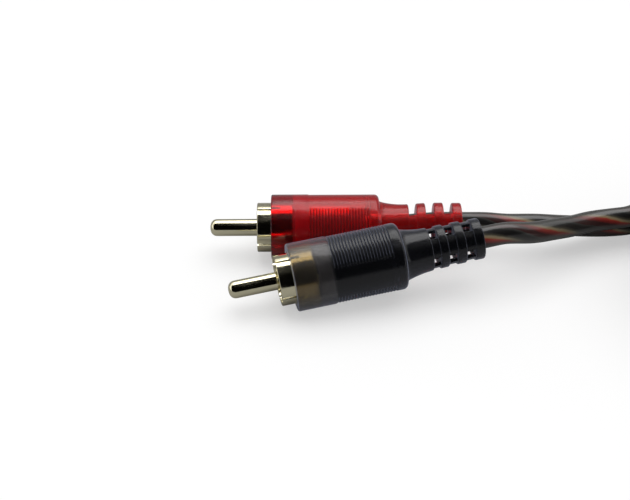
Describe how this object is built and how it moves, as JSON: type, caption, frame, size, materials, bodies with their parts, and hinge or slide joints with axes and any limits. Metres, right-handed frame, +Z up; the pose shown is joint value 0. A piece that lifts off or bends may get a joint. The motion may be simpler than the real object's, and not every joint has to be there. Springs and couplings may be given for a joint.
{
  "type": "rca audio cable",
  "caption": "Stereo phono lead: moulded red and smoke plugs with plated slotted shells and pins on slim twisted-pair cables, folded into a strapped hank.",
  "frame": {"origin": "bottom centre of the box round the two plugs that lie open, on the surface they lie on", "axes": "+X along the red plug from its pin to its cable, +Y away from the black plug, +Z up"},
  "size_m": [0.2156, 0.0388, 0.0274],
  "materials": {
    "red_vinyl": "translucent red soft vinyl, satin",
    "smoke_vinyl": "translucent smoke soft vinyl, satin",
    "gold_plating": "pale gold plating on brass, bright",
    "black_insulator": "black nylon",
    "inner_mould": "natural hard inner moulding",
    "red_wire_skin": "red wire insulation",
    "dark_wire_skin": "dark wire insulation",
    "cable_jacket": "clear smoke jacket over a twisted pair",
    "strap_weave": "black woven hook and loop tape"
  },
  "bodies": {
    "root": {"red_hood": "red_vinyl", "red_ground_shell": "gold_plating", "red_center_pin": "gold_plating", "red_pin_insulator": "black_insulator", "red_inner_mould": "inner_mould", "red_signal_wire": "red_wire_skin", "red_ground_wire": "dark_wire_skin", "red_cable_end": "cable_jacket", "black_hood": "smoke_vinyl", "black_ground_shell": "gold_plating", "black_center_pin": "gold_plating", "black_pin_insulator": "black_insulator", "black_inner_mould": "inner_mould", "black_signal_wire": "red_wire_skin", "black_ground_wire": "dark_wire_skin", "black_cable_end": "cable_jacket", "far_red_hood": "red_vinyl", "far_red_ground_shell": "gold_plating", "far_red_center_pin": "gold_plating", "far_red_pin_insulator": "black_insulator", "far_red_inner_mould": "inner_mould", "far_red_signal_wire": "red_wire_skin", "far_red_ground_wire": "dark_wire_skin", "far_red_cable_end": "cable_jacket", "far_black_hood": "smoke_vinyl", "far_black_ground_shell": "gold_plating", "far_black_center_pin": "gold_plating", "far_black_pin_insulator": "black_insulator", "far_black_inner_mould": "inner_mould", "far_black_signal_wire": "red_wire_skin", "far_black_ground_wire": "dark_wire_skin", "far_black_cable_end": "cable_jacket", "hank": "cable_jacket", "red_lead": "cable_jacket", "black_lead": "cable_jacket", "red_tail": "cable_jacket", "black_tail": "cable_jacket", "hank_strap": "strap_weave"}
  },
  "joints": []
}
